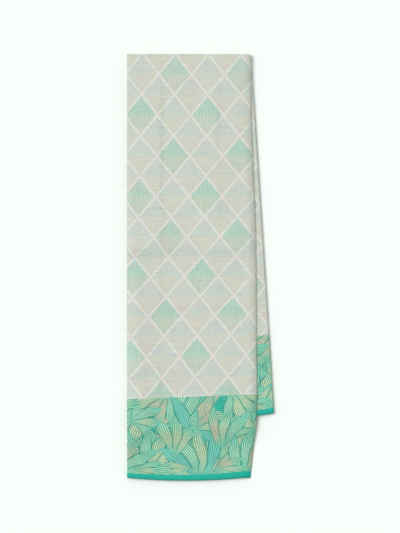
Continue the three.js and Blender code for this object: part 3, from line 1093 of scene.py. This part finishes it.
narrow = add(MATH, [narrow, 4.0], "MULTIPLY")
narrow = add(MATH, [narrow, NARROWING], "POWER")
lines = add(MATH, [ratio, narrow], "MULTIPLY")
lines = add(MATH, [lines, LINES / 2, 0.5], "MULTIPLY_ADD")
lines = add(MATH, [lines, 0.5], "PINGPONG")
lines = add(MAP_RANGE, [lines, 0.13, 0.32, 0.0, 1.0])
leaf_colour = add(MIX, [lines, fill_colour, line_colour], data_type="RGBA")
edge = add(MATH, [ratio], "ABSOLUTE")
edge = add(MAP_RANGE, [edge, LEAF_EDGE - 0.04, LEAF_EDGE + 0.04, 0.0, 1.0])
leaf_colour = add(MIX, [edge, leaf_colour, linear("#16917a")], data_type="RGBA")
patchy = add(NOISE, {"Vector": cloth, "Scale": 45.0, "Detail": 2.0}, **FLAT)
patchy = add(MAP_RANGE, [patchy, 0.3, 0.7, 0.93, 1.07])
leaf_colour = add(VECTOR_MATH, [leaf_colour, patchy], "SCALE")
finish_silk(add, shader, leaf_colour, cloth)

# %% [markdown]
# ## The plain edge
#
# The last centimetre of the cloth is woven plain in one strong colour, so it only needs its
# threads, and it is drawn darker towards the hem.

# %% The plain edge's finish
edge_silk, add, shader, cloth = silk_material("silk, plain woven edge")
parts = add(SEPARATE, [cloth])
height = add(MATH, [parts.node.outputs[1], 1 / (EDGE_HEIGHT * MM)], "MULTIPLY")
# The colour is darker towards the hem, at 0, and lighter where the border begins.
edge_colour = set_ramp(add(RAMP, [height]), [
    (0.0, "#008f7c"), (0.22, "#009e89"), (0.4, "#00b29c"), (0.85, "#00b6a1"),
    (1.0, "#23b49a")])
finish_silk(add, shader, edge_colour, cloth)

# %% [markdown]
# ## Dressing the pieces
#
# Each piece now gets its finish, rides on the one body that there is, and hides the solid it stands
# for.

# %% What each piece is
BODY = list(frame["bodies"])[0]
OUTER_WIDTH = 0.203       # the outer cloth: 180 mm, the swelling, and the rolls at both sides
MARGIN_WIDTH = 0.186
UNDER_WIDTH = 0.194
PLEATS_WIDTH = 5.1        # 28 layers
FINISHES = {"body_silk": printed_silk, "border_silk": leaf_silk, "edge_silk": edge_silk}
PIECES = [                # piece, slot, node, flat width and height, area, what it rests on
    (front_body, "body_silk", "front_body", OUTER_WIDTH, 0.491, None, "pleats_body"),
    (front_border, "border_silk", "front_border", OUTER_WIDTH, 0.112, None,
     "pleats_front_border"),
    (front_edge, "edge_silk", "front_edge", OUTER_WIDTH, 0.010, 0.00175, "pleats_front_edge"),
    (top_fold, "body_silk", "top_fold", OUTER_WIDTH, 0.021, None, "pleats_body"),
    (back_body, "body_silk", "back_body", MARGIN_WIDTH, 0.406, None, "pleats_body"),
    (back_border, "border_silk", "back_border", MARGIN_WIDTH, 0.109, None, "pleats_back_border"),
    (back_edge, "edge_silk", "back_edge", MARGIN_WIDTH, 0.010, 0.0015, "pleats_back_edge"),
    (under_body, "body_silk", "under_body", UNDER_WIDTH, 0.406, None, "table"),
    (under_border, "border_silk", "under_border", UNDER_WIDTH, 0.109, None, "table"),
    (under_edge, "edge_silk", "under_edge", UNDER_WIDTH, 0.010, 0.00155, "table"),
    (pleats_body, "body_silk", "hidden_layers", PLEATS_WIDTH, 0.91, None, "under_cloth_body"),
    (pleats_front_border, "border_silk", "hidden_layers", PLEATS_WIDTH, 0.112, None, "table"),
    (pleats_front_edge, "edge_silk", "hidden_layers", PLEATS_WIDTH, 0.010, 0.041, "table"),
    (pleats_back_border, "border_silk", "hidden_layers", PLEATS_WIDTH, 0.109, None,
     "under_cloth_border"),
    (pleats_back_edge, "edge_silk", "hidden_layers", PLEATS_WIDTH, 0.010, 0.038,
     "under_cloth_edge"),
]
for piece, slot, node, width, height, area, below in PIECES:
    piece.data.materials.append(FINISHES[slot])
    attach(piece, BODY)
    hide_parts(node)
print("pieces", len(PIECES), "on", BODY)

# %% [markdown]
# ## The studio
#
# The photograph is a cut-out from straight above, lit softly from all round. A bright sky
# gives nearly half of that light. The rest comes from one side, as from a softbox so far away
# that the whole table gets the same of it. It stands high, to the left and a little past the
# top fold, and shows the creases. A long lens keeps the outline free of perspective.

# %% The table
TABLE_SIZE = 14.0
bpy.ops.mesh.primitive_plane_add(size=TABLE_SIZE, location=(0, 0, -0.0002))
table = bpy.context.active_object
table.name = "table"
table_paint = bpy.data.materials.new("matt white paint")
table_paint.use_nodes = True
paint = table_paint.node_tree.nodes["Principled BSDF"]
paint.inputs["Base Color"].default_value = linear("#f4f9f5")
paint.inputs["Roughness"].default_value = 0.9
paint.inputs["Specular IOR Level"].default_value = 0.0
table.data.materials.append(table_paint)

# %% The light
world = bpy.data.worlds.new("studio")
bpy.context.scene.world = world
world.use_nodes = True
sky = world.node_tree.nodes["Background"]
sky.inputs["Color"].default_value = linear("#ffffff")
SKY_STRENGTH = 0.46
sky.inputs["Strength"].default_value = SKY_STRENGTH

LAMP_STRENGTH = 2.05
LAMP_SPREAD = math.radians(36)
LAMP_PLACE = (-0.85, 0.4, 2.0)
bpy.ops.object.light_add(type="SUN", location=LAMP_PLACE)
lamp = bpy.context.active_object
lamp.name = "distant softbox"
lamp.data.energy = LAMP_STRENGTH
lamp.data.angle = LAMP_SPREAD
to_cloth = -lamp.location.copy()
lamp.rotation_euler = to_cloth.to_track_quat("-Z", "Y").to_euler()

# %% The camera
# The photograph's frame: 1.45 mm a pixel where the cloth lies, on 400 by 533 pixels.
PIXEL = 1.45 * MM
FRAME_HEIGHT = 533 * PIXEL
CAMERA_HEIGHT = 3.0
SENSOR = 36.0
STRIP_TOP_HEIGHT = 0.0135
bpy.ops.object.camera_add(location=(-0.5 * PIXEL, 0.95 * PIXEL, CAMERA_HEIGHT))
camera = bpy.context.active_object
camera.data.sensor_width = SENSOR
camera.data.lens = SENSOR * (CAMERA_HEIGHT - STRIP_TOP_HEIGHT) / FRAME_HEIGHT
bpy.context.scene.camera = camera
bpy.context.scene.view_settings.view_transform = "Standard"
print("lens", camera.data.lens, "mm, lamp", LAMP_STRENGTH, "and sky", SKY_STRENGTH)
